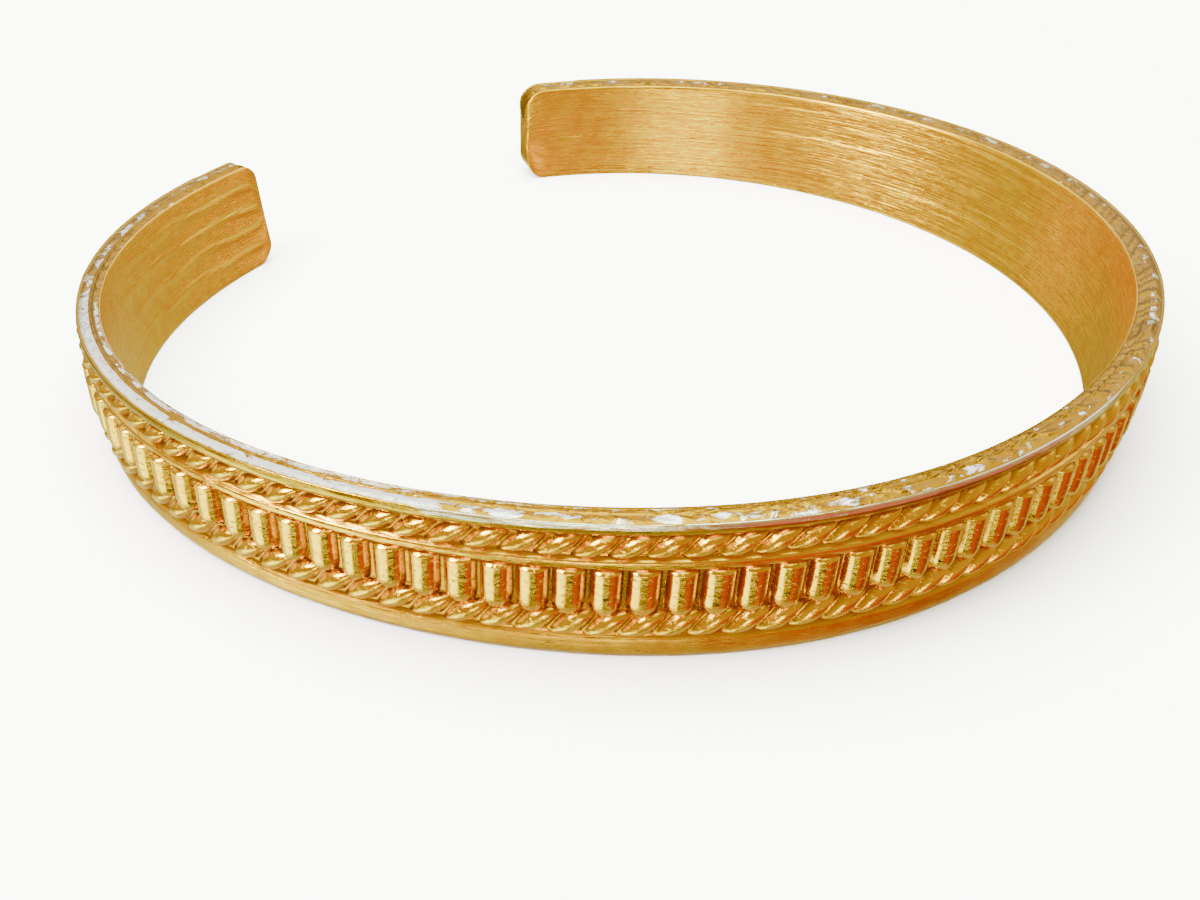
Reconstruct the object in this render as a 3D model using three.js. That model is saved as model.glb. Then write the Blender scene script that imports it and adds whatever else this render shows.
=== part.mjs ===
// Cuff bracelet: one cast and gilded silver band, bent to an open oval and lying on its side.
// Millimetres, +Z up. The band stands on its lower edge on z = 0, and the gap between its
// ends faces +Y. Its outer face carries, from the top down, a round rim, a rope row,
// a fillet, a row of gadroon tongues, a second rope row and a foot band.

import * as THREE from 'three';

// Driving dimensions
const INSIDE_RADIUS = 30; // mean radius of the inner upper edge
const FRONT_HEIGHT = 9.4; // height of the band where it is tallest
const BACK_HEIGHT = 6.1; // height that it tapers to on the other side
const TALLEST_TURN = -17; // degrees that the tallest place lies off the front, clockwise
const LAND_WIDTH = 1.4; // mean wall thickness at the upper edge
const WALL_SWING = 0.18; // the wall is this much thicker on its right and thinner on its left
const FOOT_WIDTH = 1.95; // mean wall thickness at the lower edge
const FLARE = 1.75; // how far the inner wall leans out from foot to land
const GAP_ANGLE = 46; // degrees left open between the two ends
const GADROON_PITCH = 1.83; // spacing of the tongues along the outer face
const ROPE_PITCH = 1.79; // spacing of the rope strands
const GADROON_RISE = 0.66; // crest of a tongue above the plain face
const ROPE_RISE = 0.42; // crest of a strand above the plain face
const RIM_RISE = 0.26; // swell of the rim
const FILLET_RISE = 0.26; // how far the fillet stands out above the tongues
const FOOT_RISE = 0.12; // swell of the foot band
const FLOOR_DEPTH = 0.12; // sunk ground between strands and tongues
const PLAIN_END = 4.5; // length at each end that has no relief
const CORNER_RADIUS = 1.5; // rounding of the two corners of each end
const LEFT_SLANT = 0.6; // the left end stops this much shorter at its lower corner
const RIGHT_SLANT = 0.3; // the right end stops this much shorter at its upper corner
const EDGE_BEVEL = 0.12; // break of every long edge and of the end faces

// Plan of the inner upper edge: lobes round the circle, each a share of the mean radius
// at a turn in degrees.
const BENDS = [
  { lobes: 2, share: 0.058, turn: -5 },
  { lobes: 3, share: 0.013, turn: -81.5 },
  { lobes: 4, share: 0.009, turn: -20.5 },
];

// Rows of the outer face as shares of the band height, from the foot up
const ROW = {
  footTop: 0.15,
  lowerRopeTop: 0.335,
  tongueTip: 0.35,
  tongueTop: 0.655,
  filletTop: 0.735,
  upperRopeTop: 0.895,
};

// A strand's or a tongue's section: place as a share of the pitch, rise as a share of the crest
const STRAND = [
  { place: -0.5, rise: 0 },
  { place: -0.16, rise: 1 },
  { place: 0.2, rise: 0.9 },
];
const TONGUE = [
  { place: -0.42, rise: 0 },
  { place: -0.2, rise: 1 },
  { place: 0.2, rise: 1 },
  { place: 0.42, rise: 0 },
];
const STRAND_LEAN = 0.34; // shift of a strand between its lower and upper row, share of the pitch

const EDGE_STATIONS = 92; // steps along the plain rows
const CORNER_STEPS = 5; // steps in the rounding of an end corner
const ARC_DIVISIONS = 1600;

const radians = THREE.MathUtils.degToRad;

// The inner upper edge seen from above, from the end left of the gap round the front
class BandLine extends THREE.Curve {
  getPoint(share, target = new THREE.Vector3()) {
    const start = radians(90 + GAP_ANGLE / 2);
    const angle = start + share * radians(360 - GAP_ANGLE);
    let radius = INSIDE_RADIUS;
    for (const bend of BENDS) {
      radius += INSIDE_RADIUS * bend.share * Math.cos(bend.lobes * (angle - radians(bend.turn)));
    }
    return target.set(radius * Math.cos(angle), radius * Math.sin(angle), 0);
  }
}

const line = new BandLine();
line.arcLengthDivisions = ARC_DIVISIONS;
const length = line.getLength();

// Height of the band at a point of the line
function heightAt(point) {
  const front = radians(-90 + TALLEST_TURN);
  const away = Math.atan2(point.y, point.x) - front;
  const mean = (FRONT_HEIGHT + BACK_HEIGHT) / 2;
  return mean + ((FRONT_HEIGHT - BACK_HEIGHT) / 2) * Math.cos(away);
}

// How much the rounded corner takes off the height at a distance from the nearer end
function cornerCut(distance) {
  const inside = Math.max(0, CORNER_RADIUS - distance);
  return CORNER_RADIUS - Math.sqrt(CORNER_RADIUS ** 2 - inside ** 2);
}

// The end faces are cut on a slant, which runs out over the plain length
function slanted(distance, share) {
  const left = LEFT_SLANT * (1 - share) * Math.max(0, 1 - distance / PLAIN_END);
  const right = RIGHT_SLANT * share * Math.max(0, 1 - (length - distance) / PLAIN_END);
  return distance + left - right;
}

// Space point from distance along the line, outward offset and share of the height. What
// stands on the outer face also follows the swing of the wall.
function place(distance, out, share, outside) {
  const at = THREE.MathUtils.clamp(slanted(distance, share) / length, 0, 1);
  const point = line.getPointAt(at);
  const tangent = line.getTangentAt(at);
  const cut = cornerCut(Math.min(distance, length - distance));
  const height = heightAt(point) - 2 * cut;
  const offset = out + (outside ? (WALL_SWING * point.x) / INSIDE_RADIUS : 0);
  return new THREE.Vector3(
    point.x + offset * tangent.y,
    point.y - offset * tangent.x,
    cut + share * height,
  );
}

// Outward offset of the plain outer face and of the inner face at a share of the height
const footOut = FOOT_WIDTH - FLARE;
const outerFace = (share) => footOut + (LAND_WIDTH - footOut) * share;
const innerFace = (share) => -FLARE * (1 - share);

// Distances of the plain rows: fine in the rounded corners, even between them
function plainDistances() {
  const corner = [];
  for (let i = 0; i <= CORNER_STEPS; i += 1) {
    corner.push(CORNER_RADIUS * (1 - Math.cos((i / CORNER_STEPS) * (Math.PI / 2))));
  }
  const between = [];
  for (let i = 1; i < EDGE_STATIONS; i += 1) {
    between.push(CORNER_RADIUS + (i / EDGE_STATIONS) * (length - 2 * CORNER_RADIUS));
  }
  return [...corner, ...between, ...corner.map((d) => length - d).reverse()];
}

// The end faces are broken all round: the section draws in by the bevel at the very end
function drawIn(distance) {
  const near = Math.min(distance, length - distance);
  return EDGE_BEVEL * Math.max(0, 1 - near / EDGE_BEVEL);
}

// Rows without a pattern, on the outer and on the inner face
function outerRow(share, rise = 0) {
  const out = outerFace(share) + rise;
  return plainDistances().map((distance) => ({
    order: distance,
    point: place(distance, out - drawIn(distance), share, true),
  }));
}

function innerRow(share, rise = 0) {
  const out = innerFace(share) + rise;
  return plainDistances().map((distance) => ({
    order: distance,
    point: place(distance, out + drawIn(distance), share, false),
  }));
}

// A row with a repeated section between the plain ends
function patternRow(share, { pitch, section, crest, narrow = 1, shift = 0 }) {
  const run = length - 2 * PLAIN_END;
  const count = Math.max(1, Math.round(run / pitch));
  const step = run / count;
  const plain = plainDistances();
  const row = [];
  const add = (order, distance, rise) => {
    const out = outerFace(share) + rise - drawIn(distance);
    row.push({ order, point: place(distance, out, share, true) });
  };
  plain.filter((d) => d < PLAIN_END - step / 2).forEach((d) => add(d, d, 0));
  for (let i = 0; i < count; i += 1) {
    const middle = PLAIN_END + (i + 0.5) * step;
    for (const part of section) {
      const rise = part.rise * (crest + FLOOR_DEPTH) - FLOOR_DEPTH;
      const order = middle + part.place * step;
      add(order, middle + (part.place * narrow + shift) * step, rise);
    }
  }
  plain.filter((d) => d > length - PLAIN_END + step / 2).forEach((d) => add(d, d, 0));
  return row;
}

// A rope row: two rows of strands, the upper one shifted so that the strands lean
function ropeRows(bottom, top) {
  const rope = { pitch: ROPE_PITCH, section: STRAND };
  const at = (share) => bottom + (top - bottom) * share;
  return [
    patternRow(at(0.25), { ...rope, crest: 0.75 * ROPE_RISE, shift: -STRAND_LEAN / 2 }),
    patternRow(at(0.7), { ...rope, crest: ROPE_RISE, shift: STRAND_LEAN / 2 }),
  ];
}

// The gadroon tongues: square at the top, rounded and narrower at the lower tip
function tongueRows() {
  const tongue = { pitch: GADROON_PITCH, section: TONGUE };
  const at = (share) => ROW.tongueTip + (ROW.tongueTop - ROW.tongueTip) * share;
  return [
    patternRow(at(0.1), { ...tongue, crest: 0.55 * GADROON_RISE, narrow: 0.7 }),
    patternRow(at(0.4), { ...tongue, crest: GADROON_RISE }),
    patternRow(at(0.94), { ...tongue, crest: 0.7 * GADROON_RISE }),
  ];
}

// All rows of the section, up the outer face, over the land and down the inner face
function sectionRows() {
  const bevel = EDGE_BEVEL / FRONT_HEIGHT;
  const rim = (share) => ROW.upperRopeTop + (1 - ROW.upperRopeTop) * share;
  return [
    outerRow(0, -EDGE_BEVEL),
    outerRow(bevel),
    outerRow(ROW.footTop / 2, FOOT_RISE),
    outerRow(ROW.footTop, FOOT_RISE),
    ...ropeRows(ROW.footTop, ROW.lowerRopeTop),
    outerRow(ROW.lowerRopeTop),
    ...tongueRows(),
    outerRow(ROW.tongueTop, FILLET_RISE),
    outerRow(ROW.filletTop, FILLET_RISE),
    ...ropeRows(ROW.filletTop, ROW.upperRopeTop),
    outerRow(ROW.upperRopeTop),
    outerRow(rim(0.3), RIM_RISE),
    outerRow(rim(0.75), RIM_RISE),
    outerRow(1, RIM_RISE / 3),
    innerRow(1, EDGE_BEVEL),
    innerRow(1 - bevel),
    innerRow(0.5),
    innerRow(bevel),
    innerRow(0, EDGE_BEVEL),
  ];
}

// Closed mesh through the rows, with a fan over each end
function bandGeometry() {
  const rows = sectionRows();
  const positions = [];
  const index = [];
  const keep = (point) => {
    positions.push(point.x, point.y, point.z);
    return positions.length / 3 - 1;
  };
  const ids = rows.map((row) => row.map((station) => keep(station.point)));

  rows.forEach((row, k) => {
    const next = (k + 1) % rows.length;
    const [below, above] = [ids[k], ids[next]];
    let i = 0;
    let j = 0;
    while (i < below.length - 1 || j < above.length - 1) {
      const nextBelow = i < below.length - 1 ? row[i + 1].order : Infinity;
      const nextAbove = j < above.length - 1 ? rows[next][j + 1].order : Infinity;
      if (nextBelow <= nextAbove) {
        index.push(below[i], below[i + 1], above[j]);
        i += 1;
      } else {
        index.push(below[i], above[j + 1], above[j]);
        j += 1;
      }
    }
  });

  const capEnd = (pick, flip) => {
    const ring = ids.map((row) => pick(row));
    const middle = new THREE.Vector3();
    for (const id of ring) {
      middle.add(new THREE.Vector3().fromArray(positions, 3 * id));
    }
    const centre = keep(middle.divideScalar(ring.length));
    ring.forEach((id, k) => {
      const other = ring[(k + 1) % ring.length];
      index.push(centre, flip ? other : id, flip ? id : other);
    });
  };
  capEnd((row) => row[0], false);
  capEnd((row) => row[row.length - 1], true);

  const geometry = new THREE.BufferGeometry();
  geometry.setAttribute('position', new THREE.Float32BufferAttribute(positions, 3));
  geometry.setIndex(index);
  return geometry;
}

// The origin is under the middle of the plan
function centred(geometry) {
  geometry.computeBoundingBox();
  const middle = geometry.boundingBox.getCenter(new THREE.Vector3());
  geometry.translate(-middle.x, -middle.y, 0);
  geometry.computeVertexNormals();
  return geometry;
}

const gilt = new THREE.MeshStandardMaterial({ color: 0xd9a032, roughness: 0.28, metalness: 1 });
const cuff = new THREE.Mesh(centred(bandGeometry()), gilt);
cuff.name = 'cuff';

const bracelet = new THREE.Group();
bracelet.add(cuff);

export default bracelet;
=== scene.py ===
import math

import bpy
import numpy as np
from mathutils import Matrix, Vector


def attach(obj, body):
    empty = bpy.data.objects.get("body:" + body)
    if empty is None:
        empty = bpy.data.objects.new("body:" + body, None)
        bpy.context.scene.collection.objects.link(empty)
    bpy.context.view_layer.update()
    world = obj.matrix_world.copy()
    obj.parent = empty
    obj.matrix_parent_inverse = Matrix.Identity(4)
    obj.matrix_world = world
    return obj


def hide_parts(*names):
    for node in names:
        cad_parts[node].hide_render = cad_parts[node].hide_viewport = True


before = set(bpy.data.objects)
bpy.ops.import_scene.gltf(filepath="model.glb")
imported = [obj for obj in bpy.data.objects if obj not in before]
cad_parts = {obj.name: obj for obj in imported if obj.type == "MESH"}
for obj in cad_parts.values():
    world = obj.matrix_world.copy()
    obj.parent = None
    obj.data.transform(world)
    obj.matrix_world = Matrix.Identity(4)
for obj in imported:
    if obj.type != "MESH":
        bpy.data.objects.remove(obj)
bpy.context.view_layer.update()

# Camera: stands to the left in front of the cuff and looks down on it, as the photographer did,
# with the picture turned a little clockwise.
LOOKS_AT = Vector((-0.007562, -0.005449, 0.0))
TURN, RISE, ROLL = math.radians(-40.4), math.radians(32.94), math.radians(3.397)
AWAY = 0.12439
FILM_WIDTH, FOCAL_LENGTH, NEAREST = 36.0, 63.1, 0.004
to_camera = Vector((
    math.sin(TURN) * math.cos(RISE), -math.cos(TURN) * math.cos(RISE), math.sin(RISE),
))
camera_lens = bpy.data.cameras.new("camera")
camera_lens.sensor_width = FILM_WIDTH
camera_lens.lens = FOCAL_LENGTH
camera_lens.clip_start = NEAREST
camera = bpy.data.objects.new("camera", camera_lens)
bpy.context.scene.collection.objects.link(camera)
camera.matrix_world = (
    Matrix.Translation(LOOKS_AT + AWAY * to_camera)
    @ (-to_camera).to_track_quat("-Z", "Y").to_matrix().to_4x4()
    @ Matrix.Rotation(ROLL, 4, "Z")
)
bpy.context.scene.camera = camera

# Band: the cuff's cast body, silver under worn gilding, bent to an open oval. Its outer face has
# a foot band, sunk ground for the ornament, a fillet and a rim that is round below and flat above.
# Its top is a land with a raised line, its inner wall is brushed satin. Sizes in millimetres.
INSIDE_RADIUS = 30.0
BENDS = ((2, 0.058, -5.0), (3, 0.013, -81.5), (4, 0.009, -20.5))
GAP_ANGLE = 46.0
MIDDLE = (-0.0196, -1.1245)
FRONT_HEIGHT, BACK_HEIGHT, TALLEST = 9.4, 6.1, math.radians(-107.0)
LAND_WIDTH, FOOT_OUT, FLARE, WALL_SWING = 1.4, 0.2, 1.75, 0.18
CORNER_RADIUS, END_ROUNDING, PLAIN_END = 1.5, 0.16, 4.5
LEFT_SLANT, RIGHT_SLANT = 0.6, 0.3
FOOT_TOP, LOWER_ROPE_TOP, TONGUE_TOP, FILLET_TOP, UPPER_ROPE_TOP = 0.15, 0.34, 0.655, 0.735, 0.895
GROUND, FOOT_RISE, FILLET_RISE, CAST_UNEVEN = -0.12, 0.13, 0.4, 0.015
RIM_RISE, RIM_CREST, RIM_SLOPE, RIM_EDGE_DROP = 0.38, 0.26, 0.08, 0.13
LAND_SUNK, SHOULDER_DROP, SHOULDER_WIDTH, STRIP_SUNK = 0.08, 0.11, 0.3, 0.05
LAND_LINE_AT, LAND_LINE_RISE, LAND_LINE_WIDTH, STRIP_ROUGH = 0.6, 0.09, 0.05, 0.035
CREASE_PLACES, CREASE_RISE, CREASE_WIDTH = (0.22, 0.42, 0.62, 0.82), 0.17, 0.022
OUTER_LIP, INNER_LIP, FOOT_LIP = 0.05, 0.07, 0.12
CORNER_COLUMNS, BAND_COLUMNS = 18, 802
CAP_SHARES = (0.04, 0.6)
CAST, LAND, SATIN, FOOT, RIM = range(5)

line_angle = np.radians(np.linspace(90 + GAP_ANGLE / 2, 450 - GAP_ANGLE / 2, 6001))
line_radius = INSIDE_RADIUS * (1 + sum(
    share * np.cos(lobes * (line_angle - math.radians(turn))) for lobes, share, turn in BENDS
))
line_points = np.stack([line_radius * np.cos(line_angle), line_radius * np.sin(line_angle)], axis=1)
line_steps = np.linalg.norm(np.diff(line_points, axis=0), axis=1)
line_distance = np.concatenate([[0.0], np.cumsum(line_steps)])
line_heading = np.gradient(line_points, line_distance, axis=0)
LENGTH = line_distance[-1]


def smooth(value, low, high):
    """Goes from 0 at low to 1 at high along the curve 3x^2 - 2x^3."""
    x = np.clip((value - low) / (high - low), 0, 1)
    return x * x * (3 - 2 * x)


def wander(along, across, seed):
    """Uneven casting from -1 to 1: the mean of five sine waves that cross the face at different
    angles and lengths, with phases taken from the seed."""
    total = 0
    for k in range(5):
        turn = 1.7 * k + 0.9 * seed
        wave = 1.3 + 0.83 * k
        course = along * math.cos(turn) + 2.2 * across * math.sin(turn)
        total = total + np.sin(wave * course + 5.1 * turn)
    return total / 5


def on_band(distance, out, share, outside, lift=0.0):
    """Points on the band, in metres: the point at that distance along the inner upper edge, moved
    out along its normal, at a share of the band's height there, plus a lift. The outside also
    follows the swing of the wall. Near an end the height closes in along a quarter circle, and
    the end face is cut on a slant."""
    distance, out, share, outside, lift = np.broadcast_arrays(distance, out, share, outside, lift)
    short_below = LEFT_SLANT * (1 - share) * np.maximum(0, 1 - distance / PLAIN_END)
    short_above = RIGHT_SLANT * share * np.maximum(0, 1 - (LENGTH - distance) / PLAIN_END)
    held = np.clip(distance + short_below - short_above, 0, LENGTH)
    x, y = (np.interp(held, line_distance, line_points[:, k]) for k in (0, 1))
    heading_x, heading_y = (np.interp(held, line_distance, line_heading[:, k]) for k in (0, 1))
    mean, half = (FRONT_HEIGHT + BACK_HEIGHT) / 2, (FRONT_HEIGHT - BACK_HEIGHT) / 2
    height = mean + half * np.cos(np.arctan2(y, x) - TALLEST)
    in_corner = np.clip(CORNER_RADIUS - np.minimum(distance, LENGTH - distance), 0, CORNER_RADIUS)
    cut = CORNER_RADIUS - np.sqrt(CORNER_RADIUS**2 - in_corner**2)
    offset = out + outside * WALL_SWING * x / INSIDE_RADIUS
    x, y = x + offset * heading_y - MIDDLE[0], y - offset * heading_x - MIDDLE[1]
    z = cut + share * (height - 2 * cut) + lift
    return np.stack([x, y, z], -1) / 1000


def face_out(share):
    """Offset of the plain outer face: straight from the foot to the outer edge of the land."""
    return FOOT_OUT + (LAND_WIDTH - FOOT_OUT) * share


def ornamented(distance):
    """1 where the outer face has its ornament, and 0 at the plain ends."""
    near = np.minimum(distance, LENGTH - distance)
    return smooth(near, PLAIN_END - 0.5, PLAIN_END + 0.2)


def band_mesh(name, rings, along, across, hollow, materials, zones):
    """Closed mesh through sections of the band: quads between neighbouring rings, and one face
    over each end ring. The UV map holds distance along and across the surface in centimetres, and
    the attribute hollow is 1 where the relief lies low, which is where the gilding gets painted
    shade."""
    columns, points = rings.shape[:2]
    i, j = np.meshgrid(np.arange(columns - 1), np.arange(points), indexing="ij")
    above = (j + 1) % points
    here, beyond = i * points, (i + 1) * points
    quads = np.stack([here + j, beyond + j, beyond + above, here + above], -1)
    first = np.arange(points)
    last = (columns - 1) * points + first[::-1]
    mesh = bpy.data.meshes.new(name)
    faces = quads.reshape(-1, 4).tolist() + [first.tolist(), last.tolist()]
    mesh.from_pydata(rings.reshape(-1, 3).tolist(), [], faces)
    u = along[np.stack([i, i + 1, i + 1, i], -1)].ravel()
    v = across[np.stack([j, j, j + 1, j + 1], -1)].ravel()
    u = np.concatenate([u, np.full(points, along[0]), np.full(points, along[-1])])
    v = np.concatenate([v, across[:-1], across[:-1][::-1]])
    layer = mesh.uv_layers.new(name="surface")
    layer.data.foreach_set("uv", (np.stack([u, v], -1) / 10).astype(np.float32).ravel())
    hollow_shade_layer = mesh.attributes.new("hollow", "FLOAT", "POINT")
    hollow_shade_layer.data.foreach_set("value", hollow.astype(np.float32).ravel())
    for material in materials:
        mesh.materials.append(material)
    zone = np.concatenate([np.broadcast_to(zones, (columns - 1, points)).ravel(), [0, 0]])
    mesh.polygons.foreach_set("material_index", zone.astype(np.int32))
    mesh.shade_smooth()
    mesh.update()
    piece = bpy.data.objects.new(name, mesh)
    bpy.context.scene.collection.objects.link(piece)
    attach(piece, "root")
    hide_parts("cuff")


# Finish group: gilding in two tones of gold, with painted shade that turns it darker and browner
# in the hollows of the relief, worn through to silver where Worn says so, with fine tool lines,
# and soil in the pits of the casting.
# Silver and soil are colours of the metal itself. The dark brown is painted shade for the hollows,
# and the share on the next line sets how strongly it is laid in.
SILVER, SOIL, HOLLOW_SHADE_BROWN = (0.92, 0.90, 0.83, 1), (0.30, 0.14, 0.02, 1), (0.46, 0.185, 0.001, 1)
HOLLOW_SHADE_SHARE, LINES_DEEP, PITS_DEEP = 0.85, 0.6, 0.4
gilding = bpy.data.node_groups.new("worn gilding", "ShaderNodeTree")
for socket_name, kind, value in (
    ("Surface", "NodeSocketVector", (0.0, 0.0, 0.0)),
    ("Gold", "NodeSocketColor", (0.94, 0.54, 0.010, 1.0)),
    ("Red Gold", "NodeSocketColor", (0.88, 0.44, 0.004, 1.0)),
    ("Line Stretch", "NodeSocketFloat", 0.1),
    ("Line Scale", "NodeSocketFloat", 60.0),
    ("Pit Scale", "NodeSocketFloat", 40.0),
    ("Worn", "NodeSocketFloat", 0.0),
    ("Hollow Shade", "NodeSocketFloat", 0.0),
    ("Gloss Roughness", "NodeSocketFloat", 0.15),
    ("Line Roughness", "NodeSocketFloat", 0.1),
):
    made = gilding.interface.new_socket(socket_name, in_out="INPUT", socket_type=kind)
    made.default_value = value
for socket_name, kind in (
    ("Color", "NodeSocketColor"), ("Roughness", "NodeSocketFloat"), ("Height", "NodeSocketFloat"),
):
    gilding.interface.new_socket(socket_name, in_out="OUTPUT", socket_type=kind)


def add_node(tree, kind, settings=None, **inputs):
    """Adds a node, sets its settings, and sets or links its inputs by socket name, or by number
    where the key is n and the number."""
    node = tree.nodes.new(kind)
    for key, value in (settings or {}).items():
        setattr(node, key, value)
    for key, value in inputs.items():
        numbered = key[0] == "n" and key[1:].isdigit()
        socket = node.inputs[int(key[1:]) if numbered else key.replace("_", " ")]
        if isinstance(value, bpy.types.NodeSocket):
            tree.links.new(value, socket)
        else:
            socket.default_value = value
    return node


def math_node(tree, operation, *values):
    """A Math node's output for these values or sockets."""
    node = tree.nodes.new("ShaderNodeMath")
    node.operation = operation
    for k, value in enumerate(values):
        if isinstance(value, bpy.types.NodeSocket):
            tree.links.new(value, node.inputs[k])
        else:
            node.inputs[k].default_value = value
    return node.outputs[0]


def ramp(tree, value, low, high):
    """A Map Range node's smooth step of value from 0 at low to 1 at high."""
    node = add_node(tree, "ShaderNodeMapRange", {"interpolation_type": "SMOOTHSTEP"}, Value=value)
    node.inputs["From Min"].default_value = low
    node.inputs["From Max"].default_value = high
    return node.outputs["Result"]


def mix_color(tree, factor, first, second):
    """A Mix node's colour between two colours or sockets."""
    node = tree.nodes.new("ShaderNodeMix")
    node.data_type = "RGBA"
    for key, value in ((0, factor), (6, first), (7, second)):
        if isinstance(value, bpy.types.NodeSocket):
            tree.links.new(value, node.inputs[key])
        else:
            node.inputs[key].default_value = value
    return node.outputs[2]


given = gilding.nodes.new("NodeGroupInput").outputs
stretch = add_node(gilding, "ShaderNodeCombineXYZ", X=given["Line Stretch"], Y=1.0, Z=1.0)
along_lines = add_node(
    gilding, "ShaderNodeVectorMath", {"operation": "MULTIPLY"},
    n0=given["Surface"], n1=stretch.outputs[0],
).outputs[0]
tool_lines = add_node(
    gilding, "ShaderNodeTexNoise",
    Vector=along_lines, Scale=given["Line Scale"], Detail=4.0, Roughness=0.65, Distortion=0.3,
).outputs[0]
pits = add_node(
    gilding, "ShaderNodeTexNoise",
    Vector=along_lines, Scale=given["Pit Scale"], Detail=5.0, Roughness=0.7,
).outputs[0]
tint = add_node(
    gilding, "ShaderNodeTexNoise",
    Vector=given["Surface"], Scale=7.0, Detail=3.0, Roughness=0.6,
).outputs[0]
wear = add_node(
    gilding, "ShaderNodeTexNoise",
    Vector=along_lines, Scale=26.0, Detail=4.0, Roughness=0.6, Distortion=0.6,
).outputs[0]
gold = mix_color(gilding, ramp(gilding, tint, 0.36, 0.64), given["Gold"], given["Red Gold"])
bare = ramp(gilding, math_node(gilding, "ADD", wear, given["Worn"]), 0.98, 1.06)
plated = mix_color(gilding, bare, gold, SILVER)
soiled = mix_color(gilding, ramp(gilding, pits, 0.36, 0.28), plated, SOIL)
# Painted shade: the gilding is mixed towards dark brown where the attribute hollow says the relief
# lies low.
painted_hollow_shade = math_node(gilding, "MULTIPLY", given["Hollow Shade"], HOLLOW_SHADE_SHARE)
shade = mix_color(gilding, painted_hollow_shade, soiled, HOLLOW_SHADE_BROWN)
rough = math_node(
    gilding, "MULTIPLY_ADD",
    ramp(gilding, tool_lines, 0.35, 0.7), given["Line Roughness"], given["Gloss Roughness"],
)
lines_high = math_node(gilding, "MULTIPLY", tool_lines, LINES_DEEP)
pits_high = math_node(
    gilding, "MULTIPLY_ADD", ramp(gilding, pits, 0.30, 0.42), PITS_DEEP, lines_high,
)
gilding_out = gilding.nodes.new("NodeGroupOutput")
gilding.links.new(shade, gilding_out.inputs["Color"])
gilding.links.new(rough, gilding_out.inputs["Roughness"])
gilding.links.new(pits_high, gilding_out.inputs["Height"])


def gilt_material(name, bump, bump_distance, worn_by=None, **values):
    """Polished or satin gilt metal from the finish group. The attribute hollow feeds its painted
    shade in the low relief, and worn_by makes its Worn from the distances along and across, in
    centimetres."""
    material = bpy.data.materials.new(name)
    material.use_nodes = True
    tree = material.node_tree
    tree.nodes.clear()
    surface = add_node(tree, "ShaderNodeUVMap", {"uv_map": "surface"})
    finish = tree.nodes.new("ShaderNodeGroup")
    finish.node_tree = gilding
    tree.links.new(surface.outputs[0], finish.inputs["Surface"])
    for key, value in values.items():
        finish.inputs[key.replace("_", " ")].default_value = value
    hollow = add_node(tree, "ShaderNodeAttribute", {"attribute_name": "hollow"})
    tree.links.new(hollow.outputs["Fac"], finish.inputs["Hollow Shade"])
    if worn_by:
        parts = add_node(tree, "ShaderNodeSeparateXYZ", Vector=surface.outputs[0])
        tree.links.new(worn_by(tree, parts.outputs[0], parts.outputs[1]), finish.inputs["Worn"])
    relief = add_node(
        tree, "ShaderNodeBump",
        Strength=bump, Distance=bump_distance, Height=finish.outputs["Height"],
    )
    metal = add_node(
        tree, "ShaderNodeBsdfPrincipled", Metallic=1.0, Base_Color=finish.outputs["Color"],
        Roughness=finish.outputs["Roughness"], Normal=relief.outputs[0],
    )
    output = tree.nodes.new("ShaderNodeOutputMaterial")
    tree.links.new(metal.outputs[0], output.inputs[0])
    return material


def land_wear(tree, along, across):
    """Silver shows on the smooth half of the land, outside the raised line, and a little less on
    the inner edge of the rough strip: nearly everywhere along the left of the front, in patches
    elsewhere, and in fewer patches to the right."""
    left = math_node(tree, "MULTIPLY", ramp(tree, along, 1.8, 2.6), ramp(tree, along, 5.9, 5.0))
    patches = math_node(tree, "MULTIPLY_ADD", left, 0.16, 0.47)
    patches = math_node(tree, "MULTIPLY_ADD", ramp(tree, along, 7.2, 8.4), -0.05, patches)
    outer_half = math_node(
        tree, "MULTIPLY", ramp(tree, across, 0.949, 0.953), ramp(tree, across, 0.983, 0.977),
    )
    inner_strip = math_node(tree, "MULTIPLY", ramp(tree, across, 0.992, 0.998), 0.85)
    shown = math_node(tree, "MAXIMUM", outer_half, inner_strip)
    return math_node(tree, "MULTIPLY", patches, shown)


def rim_wear(tree, along, across):
    """Silver shows on the upper half of the rim along the right of the front."""
    front = math_node(tree, "MULTIPLY", ramp(tree, along, 4.7, 5.4), ramp(tree, along, 10.5, 9.0))
    upper_half = math_node(tree, "MULTIPLY", front, ramp(tree, across, 0.757, 0.763))
    return math_node(tree, "MULTIPLY", upper_half, 0.62)


cast_gilt = gilt_material(
    "cast gilt", 0.5, 0.00009, Line_Stretch=0.12, Line_Scale=55.0, Pit_Scale=42.0,
    Gloss_Roughness=0.13, Line_Roughness=0.16,
)
# The land's gold has a darker base than the other gilt: painted shade that holds down the bright
# reflection on this top face. The worn-through silver is left as it is.
shaded_land_gilt = gilt_material(
    "land gilt", 0.8, 0.00014, land_wear, Line_Stretch=0.3, Line_Scale=40.0, Pit_Scale=50.0,
    Gloss_Roughness=0.13, Line_Roughness=0.16,
    Gold=(0.38, 0.200, 0.0, 1), Red_Gold=(0.33, 0.155, 0.0, 1),
)
rim_gilt = gilt_material(
    "rim gilt", 0.5, 0.00008, rim_wear, Line_Stretch=0.1, Line_Scale=60.0, Pit_Scale=40.0,
    Gloss_Roughness=0.12, Line_Roughness=0.14,
    Gold=(0.58, 0.34, 0.005, 1), Red_Gold=(0.52, 0.27, 0.002, 1),
)
foot_gilt = gilt_material(
    "foot gilt", 0.8, 0.0001, Line_Stretch=0.06, Line_Scale=60.0, Pit_Scale=30.0,
    Gloss_Roughness=0.24, Line_Roughness=0.3,
    Gold=(0.80, 0.44, 0.004, 1), Red_Gold=(0.74, 0.34, 0.002, 1),
)
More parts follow.
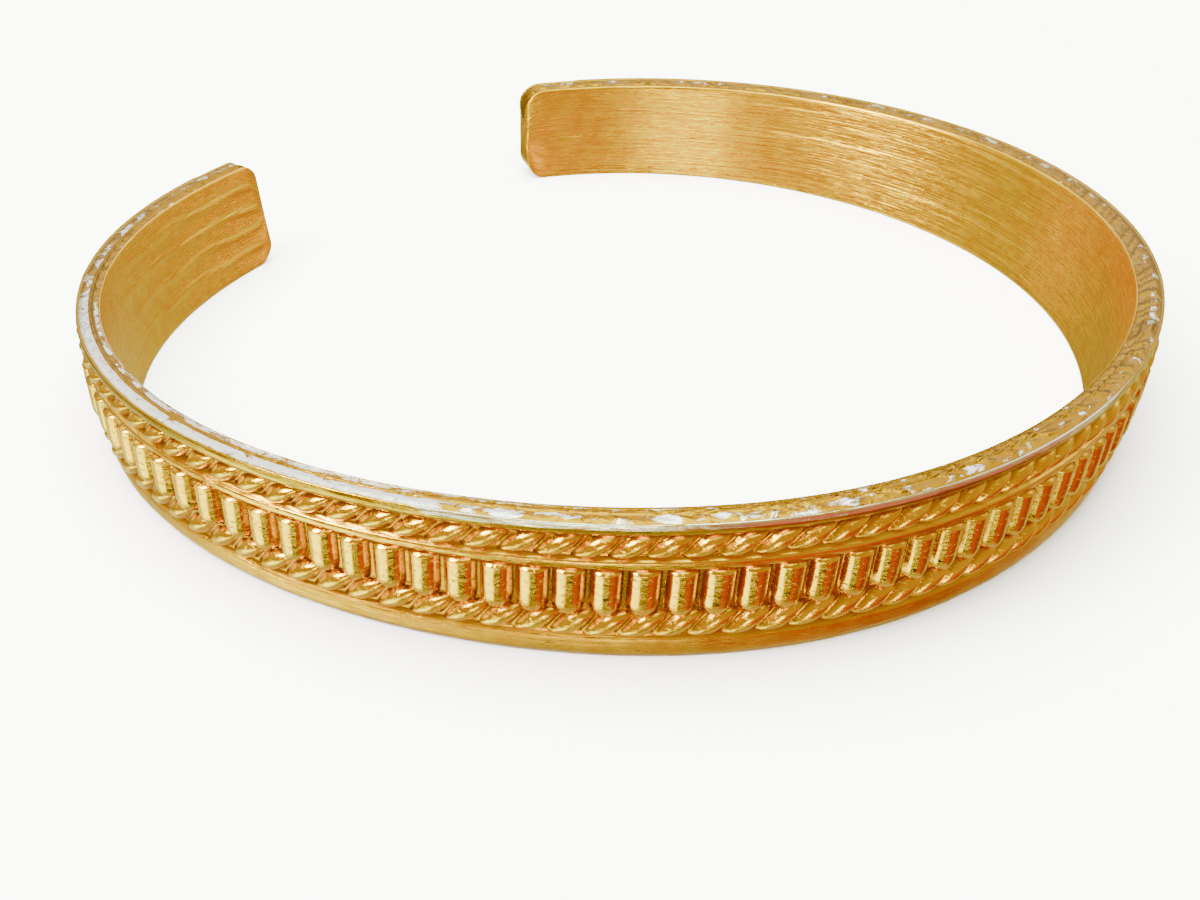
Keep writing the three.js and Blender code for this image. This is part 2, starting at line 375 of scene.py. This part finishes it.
satin_gilt = gilt_material(
    "brushed gilt", 0.8, 0.00007, Line_Stretch=0.03, Line_Scale=70.0, Pit_Scale=14.0,
    Gloss_Roughness=0.2, Line_Roughness=0.16,
    Gold=(0.94, 0.56, 0.006, 1), Red_Gold=(0.88, 0.47, 0.003, 1),
)

corner_steps = CORNER_RADIUS * (1 - np.cos(np.linspace(0, math.pi / 2, CORNER_COLUMNS)))
band_distance = np.concatenate([
    corner_steps,
    np.linspace(CORNER_RADIUS, LENGTH - CORNER_RADIUS, BAND_COLUMNS)[1:-1],
    (LENGTH - corner_steps)[::-1],
])
outer_share = np.concatenate([
    np.linspace(low, high, steps, endpoint=False)
    for low, high, steps in (
        (0, FOOT_TOP, 10), (FOOT_TOP, LOWER_ROPE_TOP, 6), (LOWER_ROPE_TOP, TONGUE_TOP, 6),
        (TONGUE_TOP, FILLET_TOP, 9), (FILLET_TOP, UPPER_ROPE_TOP, 6), (UPPER_ROPE_TOP, 1, 10),
    )
])
land_part = np.linspace(0, 1, 24, endpoint=False)
inner_share = np.concatenate(
    [(1, 0.99, 0.978, 0.96, 0.04, 0.02)]
    + [np.linspace(at - 0.08, at + 0.08, 8) for at in CREASE_PLACES]
)
inner_share = np.unique(np.round(inner_share, 4))[::-1]
under_part = np.linspace(0, 1, 6, endpoint=False)


def swell(share, low, high, power):
    """1 at the middle of a strip of the face and 0 at its edges, along 1 - |x|^power."""
    return 1 - np.abs(np.clip(2 * (share - low) / (high - low) - 1, -1, 1)) ** power


def outer_relief(share, distance):
    """Rise of the band's own outer face: rounded swells for foot band and fillet, a rim that is
    round below its middle and slopes off above it, and the sunk ground between them, which
    levels out towards the plain ends."""
    foot = np.where(share < FOOT_TOP, FOOT_RISE * swell(share, 0, FOOT_TOP, 3), GROUND)
    in_fillet = (share > TONGUE_TOP) & (share < FILLET_TOP)
    fillet_rise = GROUND + FILLET_RISE * swell(share, TONGUE_TOP, FILLET_TOP, 4) ** 0.6
    fillet = np.where(in_fillet, fillet_rise, foot)
    low_rim = GROUND + RIM_RISE * np.sqrt(swell(share, UPPER_ROPE_TOP, 1, 2.4))
    past_middle = np.clip((2 * share - UPPER_ROPE_TOP - 1) / (1 - UPPER_ROPE_TOP), 0, 1)
    high_rim = RIM_CREST - RIM_SLOPE * past_middle - RIM_EDGE_DROP * past_middle**8
    rim = np.where(share < (UPPER_ROPE_TOP + 1) / 2, low_rim, high_rim)
    worked = np.where(share > UPPER_ROPE_TOP, rim, fillet)
    worked = worked + CAST_UNEVEN * wander(1.3 * distance, 9 * share, 1)
    plain = np.where(share > UPPER_ROPE_TOP, 0.5 * rim * (share > 0.9), 0)
    kept = ornamented(distance)
    return worked * kept + plain * (1 - kept) + 0.1 * (smooth(share, 0, 0.03) - 1)


def land_lift(part, distance):
    """Height of the land over its width, from its outer to its inner edge: a rounded shoulder, a
    smooth band, a raised wavering line at three fifths, and a rough sunk strip. Slanting crinkles
    cross it, stronger to the right."""
    line_at = LAND_LINE_AT + 0.035 * wander(0.35 * distance, 0, 3)
    line = LAND_LINE_RISE * np.exp(-(((part - line_at) / LAND_LINE_WIDTH) ** 2))
    line = line * smooth(distance, 112, 96)
    rough = STRIP_ROUGH * wander(4 * distance, 5 * part, 4) * smooth(part, 0.62, 0.7)
    slant = 2.3 * distance + 4.5 * part
    slant = slant + 1.7 * np.sin(0.53 * distance) + 1.2 * np.sin(1.31 * distance + 3 * part)
    strength = 0.04 + 0.11 * smooth(distance, 50, 66)
    crinkled = strength * (1 - np.abs(np.sin(slant))) ** 2.5
    crinkled = crinkled * smooth(part, 0.14, 0.26) * smooth(part, 0.97, 0.85)
    edge = 0.05 * (smooth(part, 1.02, 0.95) - 1)
    shoulder = -SHOULDER_DROP * np.clip(1 - part / SHOULDER_WIDTH, 0, 1) ** 2
    sunk = STRIP_SUNK * smooth(part, 0.64, 0.72)
    return -LAND_SUNK + shoulder + line + rough + crinkled + edge - sunk


def inner_relief(share, distance):
    """Creases of the inner wall: four wavering raised lines that run in from the left end and die
    out, over a slight unevenness everywhere."""
    total = 0.012 * wander(0.5 * distance, 1.2 * share, 5)
    for k, at in enumerate(CREASE_PLACES):
        path = at + 0.014 * np.sin(0.9 * distance + 1.9 * k) + 0.004 * (distance - 8)
        crease = CREASE_RISE * np.exp(-(((share - path) / CREASE_WIDTH) ** 2))
        total = total + crease * smooth(distance, 19 + 2 * k, 5)
    edges = -0.07 * (1 - smooth(share, 0, 0.02) * smooth(share, 1, 0.985))
    return total * smooth(np.minimum(distance, LENGTH - distance), 0.15, 1.0) + edges


def drawn_in(ring, share):
    """A ring of points drawn in about its middle to a share of its size."""
    return ring.mean(0) + share * (ring - ring.mean(0))


column = band_distance[:, None]
end_inset = END_ROUNDING - np.sqrt(
    END_ROUNDING**2 - np.maximum(0, END_ROUNDING - np.minimum(column, LENGTH - column)) ** 2
)
outer_rise = outer_relief(outer_share, column)
outer_points = on_band(column, face_out(outer_share) + outer_rise - end_inset, outer_share, 1.0)
land_out = (LAND_WIDTH + OUTER_LIP - end_inset) * (1 - land_part)
land_out = land_out + (INNER_LIP + end_inset) * land_part
land_points = on_band(column, land_out, 1.0, 1 - land_part, land_lift(land_part, column))
inner_out = -FLARE * (1 - inner_share) - inner_relief(inner_share, column) + end_inset
inner_points = on_band(column, inner_out, inner_share, 0.0)
under_out = (end_inset - FLARE + INNER_LIP) * (1 - under_part)
under_out = under_out + (FOOT_OUT - FOOT_LIP - end_inset) * under_part
under_points = on_band(column, under_out, 0.0, under_part)
body_rings = np.concatenate([outer_points, land_points, inner_points, under_points], axis=1)
band_rings = np.concatenate([
    [drawn_in(body_rings[0], share) for share in CAP_SHARES],
    body_rings,
    [drawn_in(body_rings[-1], share) for share in CAP_SHARES[::-1]],
])
# Painted shade for the outer face: 1 in its sunk ground, fading out as the relief rises. It is 0 on
# the land, inner wall, underside and end caps.
band_hollow_shade = np.zeros(band_rings.shape[:2])
caps = len(CAP_SHARES)
band_hollow_shade[caps:-caps, :len(outer_share)] = 1 - smooth(outer_rise, -0.11, 0.0)
band_along = np.concatenate([[-0.5, -0.25], band_distance, [LENGTH + 0.25, LENGTH + 0.5]])
band_across = np.concatenate([
    8.0 * outer_share, 9.5 + 0.6 * land_part, 11.0 + 7.0 * (1 - inner_share),
    19.0 + under_part, [20.0],
])
above_rope = np.where(outer_share > UPPER_ROPE_TOP, RIM, CAST)
band_zones = np.concatenate([
    np.where(outer_share < FOOT_TOP, FOOT, above_rope), np.full(len(land_part), LAND),
    np.full(len(inner_share), SATIN), np.full(len(under_part), CAST),
])
band_mesh(
    "band", band_rings, band_along, band_across, band_hollow_shade,
    (cast_gilt, shaded_land_gilt, satin_gilt, foot_gilt, rim_gilt), band_zones,
)

# Rope rows: two twisted ropes of the same gilt silver, cast in relief with the band, one above and
# one under the tongues. Each strand is a glossy lens that leans to the right, and the two rows lean
# the same way.
ROPE_PITCH, ROPE_RISE, ROPE_TWIST, STRAND_HALF = 1.79, 0.44, 1.12, 0.41
ROPE_GROOVE, GROOVE_DROP, ROPE_EDGE_DROP = -0.03, 0.08, 0.26
RUN_ON, STRIP_BACK, END_DROP, BACK_STEP = 0.6, 0.55, 0.3, 4
rope_gilt = gilt_material(
    "rope gilt", 0.5, 0.00007, Line_Stretch=0.5, Line_Scale=60.0, Pit_Scale=45.0,
    Gloss_Roughness=0.1, Line_Roughness=0.14,
)


def row_steps(pitch):
    """Even spacing nearest to the pitch that fills the ornamented length, and the count."""
    run = LENGTH - 2 * PLAIN_END
    count = max(1, round(run / pitch))
    return run / count, count


def row_distance(count, columns):
    """Distances of a row's sections, which run a little past the ornamented length."""
    return np.linspace(PLAIN_END - RUN_ON, LENGTH - PLAIN_END + RUN_ON, count * columns)


def ellipse_top(place, half):
    """1 at the middle and 0 at the half width, along the upper part of an ellipse."""
    return (np.sqrt(1 - 0.96 * np.clip(place / half, 0, 1) ** 2) - 0.2) / 0.8


def rope_rise(distance, part, step, phase):
    """Height of a rope over its row, with part from 0 at its lower to 1 at its upper edge: a round
    back, with the top of an ellipse across each strand. A strand climbs as a screw thread does
    seen from the side, fastest at mid height, where it is also widest."""
    twist = np.arccos(np.clip(1 - 2 * part, -1, 1)) / math.pi
    turns = (distance - PLAIN_END) / step - ROPE_TWIST * (twist - 0.5) + phase
    strand = np.floor(turns)
    place = np.abs(turns - strand - 0.5 + 0.03 * np.sin(12.9 * strand))
    half = STRAND_HALF * (0.5 + 0.5 * (1 - np.abs(2 * part - 1) ** 2.6) ** 0.5)
    lens = ellipse_top(place, half)
    back = (1 - np.abs(2 * part - 1) ** 2.4) ** 0.6
    crest = ROPE_RISE * (1 + 0.1 * np.sin(7.7 * strand))
    ground = ROPE_GROOVE - GROOVE_DROP * np.clip((place - half) / (0.5 - half), 0, 1)
    return back * (ground + (crest - ground) * lens) - ROPE_EDGE_DROP * (1 - back)


def strip_rings(distance, share, rise):
    """Sections of a strip of ornament: its worked face, and a back sunk into the band."""
    worked = ornamented(distance)
    front_out = face_out(share) + rise * worked - END_DROP * (1 - worked)
    front = on_band(distance, front_out, share, 1.0)
    back_share = share[::-1][::BACK_STEP]
    back = on_band(distance, face_out(back_share) - STRIP_BACK, back_share, 1.0)
    return np.concatenate([front, back], axis=1)


def strip_hollow_shade(rise, high):
    """Painted shade mask: 1 in the low ground of a strip and on its back, and 0 where it rises
    above that height.
    """
    back = np.ones_like(rise[:, ::BACK_STEP])
    return np.concatenate([1 - smooth(rise, -0.04, high), back], axis=1)


def strip_across(share):
    """Distance round a strip's section in millimetres, for its UV map."""
    front = 9 * share
    back = np.linspace(front[-1] + 0.5, front[-1] + 3, len(share[::BACK_STEP]) + 1)
    return np.concatenate([front, back])


rope_step, rope_count = row_steps(ROPE_PITCH)
rope_distance = row_distance(rope_count, 16)
rope_part = (1 - np.cos(np.linspace(0, math.pi, 25))) / 2
for rope_name, rope_low, rope_high, rope_phase in (
    ("rope_lower", FOOT_TOP - 0.005, LOWER_ROPE_TOP + 0.004, 0.2),
    ("rope_upper", FILLET_TOP - 0.005, UPPER_ROPE_TOP + 0.008, 0.65),
):
    rope_share = rope_low + (rope_high - rope_low) * rope_part
    rope_height = rope_rise(rope_distance[:, None], rope_part, rope_step, rope_phase)
    band_mesh(
        rope_name, strip_rings(rope_distance[:, None], rope_share, rope_height), rope_distance,
        strip_across(rope_share), strip_hollow_shade(rope_height, 0.2), (rope_gilt,), 0,
    )

# Gadroons: a row of polished tongues of the same gilt silver, cast with the band under the fillet,
# square at the top and round at the lower tip, each chased a little differently by hand.
TONGUE_PITCH, TONGUE_RISE, TONGUE_HALF, TIP_SHARE = 1.83, 0.58, 0.415, 0.3
tongue_gilt = gilt_material(
    "tongue gilt", 0.65, 0.00008, Line_Stretch=0.6, Line_Scale=32.0, Pit_Scale=40.0,
    Gloss_Roughness=0.09, Line_Roughness=0.12,
)


def tongue_rise(distance, part, step):
    """Height of the tongues, with part from 0 at the tip to 1 at the top. Across, a tongue is the
    top of an ellipse, whose half width closes along a circle towards the tip. It ends square under
    the fillet, and the ground between two tongues is hollow."""
    turns = (distance - PLAIN_END) / step
    tongue = np.floor(turns)
    place = np.abs(turns - tongue - 0.5 + 0.025 * np.sin(5.3 * tongue))
    tip = np.clip(1 - (np.clip(TIP_SHARE - part, 0, 1) / TIP_SHARE) ** 2.4, 0, 1) ** 0.45
    half = TONGUE_HALF * (1 + 0.04 * np.sin(9.1 * tongue)) * np.maximum(tip, 0.02)
    dome = ellipse_top(place, half)
    crest = (TONGUE_RISE - 0.05 * smooth(part, 0.4, 1)) * (1 + 0.06 * np.sin(3.7 * tongue))
    body = dome * tip**0.7 * smooth(part, 1.0, 0.985)
    hollow = 1 - np.clip((0.5 - place) / (0.5 - half), 0, 1) ** 2
    floor = -0.02 - 0.13 * hollow - 0.3 * (1 - smooth(part, 0, 0.03) * smooth(part, 1, 0.985))
    return floor + (crest - floor) * body


tongue_step, tongue_count = row_steps(TONGUE_PITCH)
tongue_distance = row_distance(tongue_count, 20)
tongue_part = np.linspace(0, 1, 38)
tongue_span = TONGUE_TOP + 0.012 - LOWER_ROPE_TOP
tongue_share = LOWER_ROPE_TOP - 0.012 + tongue_span * tongue_part
tongue_height = tongue_rise(tongue_distance[:, None], tongue_part, tongue_step)
band_mesh(
    "gadroons", strip_rings(tongue_distance[:, None], tongue_share, tongue_height),
    tongue_distance, strip_across(tongue_share), strip_hollow_shade(tongue_height, 0.3),
    (tongue_gilt,), 0,
)

# Floor: a plain pale table that the cuff lies on. Metal doesn't mirror it, because the pale sheet
# of the photograph ends close round the cuff, and the darker room round it is what the metal shows.
REACH = 3.0
floor_mesh = bpy.data.meshes.new("floor")
floor_mesh.from_pydata(
    [(-REACH, -REACH, 0), (REACH, -REACH, 0), (REACH, REACH, 0), (-REACH, REACH, 0)],
    [], [(0, 1, 2, 3)],
)
floor = bpy.data.objects.new("floor", floor_mesh)
bpy.context.scene.collection.objects.link(floor)
floor_paint = bpy.data.materials.new("pale table")
floor_paint.use_nodes = True
pale = floor_paint.node_tree.nodes["Principled BSDF"].inputs
pale["Base Color"].default_value = (0.93, 0.93, 0.93, 1)
pale["Roughness"].default_value = 0.8
pale["Specular IOR Level"].default_value = 0.0
floor_mesh.materials.append(floor_paint)
floor.visible_glossy = False

# Room: pale behind the cuff and bright overhead, dark low towards the camera, with warm red to the
# right of it, bright paper on both sides, and one bright lamp straight ahead, as the polished
# tongues mirror them. Every zone is set by direction alone.
BACK_WALL, FRONT_WALL, LOW_WALL = (0.75, 0.70, 0.4, 1), (0.66, 0.50, 0.06, 1), (0.72, 0.62, 0.10, 1)
WINDOW, CEILING, LAMP = (2.5, 2.5, 2.4, 1), (6.2, 7.2, 5.4, 1), (16.0, 17.0, 10.0, 1)
DARK, RED = (0.035, 0.032, 0.010, 1), (0.74, 0.13, 0.0, 1)
BROWN, ROSE = (0.34, 0.10, 0.0, 1), (0.75, 0.17, 0.1, 1)
SIDE_PAPER, RIGHT_PAPER = (3.8, 4.8, 2.4, 1), (0.85, 0.85, 0.3, 1)
LEFT_PAPER, FAR_PAPER = (4.8, 6.2, 4.0, 1), (1.3, 1.5, 0.7, 1)
LEFT_WALL, NEAR_TABLE = (0.50, 0.40, 0.07, 1), (0.8, 0.8, 0.55, 1)
room = bpy.data.worlds.new("room")
room.use_nodes = True
bpy.context.scene.world = room
air = room.node_tree
air.nodes.clear()
looking = add_node(air, "ShaderNodeTexCoord").outputs["Generated"]
towards = add_node(
    air, "ShaderNodeVectorMath", {"operation": "DOT_PRODUCT"},
    n0=looking, n1=(math.sin(TURN), -math.cos(TURN), 0),
).outputs["Value"]
rightwards = add_node(
    air, "ShaderNodeVectorMath", {"operation": "DOT_PRODUCT"},
    n0=looking, n1=(math.cos(TURN), math.sin(TURN), 0),
).outputs["Value"]
upwards = add_node(air, "ShaderNodeSeparateXYZ", Vector=looking).outputs[2]
turned = math_node(air, "ARCTAN2", rightwards, towards)


def inside(*steps):
    """The product of smooth steps, each given as a direction and its values at 0 and at 1."""
    share = ramp(air, *steps[0])
    for step in steps[1:]:
        share = math_node(air, "MULTIPLY", share, ramp(air, *step))
    return share


above = mix_color(air, inside((towards, -0.35, 0.5)), BACK_WALL, FRONT_WALL)
above = mix_color(air, inside((upwards, 0.02, -0.10)), above, LOW_WALL)
above = mix_color(air, inside((upwards, 0.28, 0.42), (towards, -0.1, -0.4)), above, WINDOW)
above = mix_color(air, inside((upwards, 0.85, 0.97)), above, CEILING)
below = mix_color(air, inside((turned, 0.46, 0.58)), DARK, RED)
below = mix_color(air, inside((turned, 0.95, 1.5)), below, BROWN)
below = mix_color(air, inside((upwards, -0.665, -0.64), (turned, 0.46, 0.32)), below, SIDE_PAPER)
rose_strip = inside((upwards, -0.60, -0.56), (turned, -0.95, -0.85))
below = mix_color(air, rose_strip, below, ROSE)
below = mix_color(air, inside((turned, 1.8, 2.1)), below, RIGHT_PAPER)
papered = mix_color(air, inside((turned, -0.38, -0.52)), below, LEFT_PAPER)
papered = mix_color(air, inside((turned, -1.4, -1.8)), papered, FAR_PAPER)
papered = mix_color(air, rose_strip, papered, below)
papered = mix_color(
    air, inside((upwards, -0.56, -0.48), (turned, -0.42, -0.58)), papered, LEFT_WALL,
)
papered = mix_color(air, inside((upwards, -0.80, -0.86)), papered, NEAR_TABLE)
everywhere = mix_color(air, inside((upwards, -0.34, -0.24)), papered, above)
in_lamp = inside(
    (turned, -0.30, -0.14), (turned, 0.24, 0.08), (upwards, -0.32, -0.26), (upwards, -0.08, -0.16),
)
everywhere = mix_color(air, in_lamp, everywhere, LAMP)
glow = add_node(air, "ShaderNodeBackground", Color=everywhere, Strength=1.0)
air_out = air.nodes.new("ShaderNodeOutputWorld")
air.links.new(glow.outputs[0], air_out.inputs[0])

# Lights: one large soft box over the table and a smaller one to the back left, both aimed at the
# middle of the cuff. Only the smaller one is mirrored, because the room already has the ceiling.
for light_name, place, size, power, mirrored in (
    ("soft box", Vector((-0.10, 0.12, 0.70)), 0.9, 62.0, False),
    ("side box", Vector((-0.50, 0.10, 0.45)), 0.28, 9.0, True),
):
    lamp_data = bpy.data.lights.new(light_name, "AREA")
    lamp_data.shape = "SQUARE"
    lamp_data.size = size
    lamp_data.energy = power
    lamp = bpy.data.objects.new(light_name, lamp_data)
    bpy.context.scene.collection.objects.link(lamp)
    lamp.location = place
    lamp.visible_glossy = mirrored
    lamp.rotation_euler = (-place).to_track_quat("-Z", "Y").to_euler()
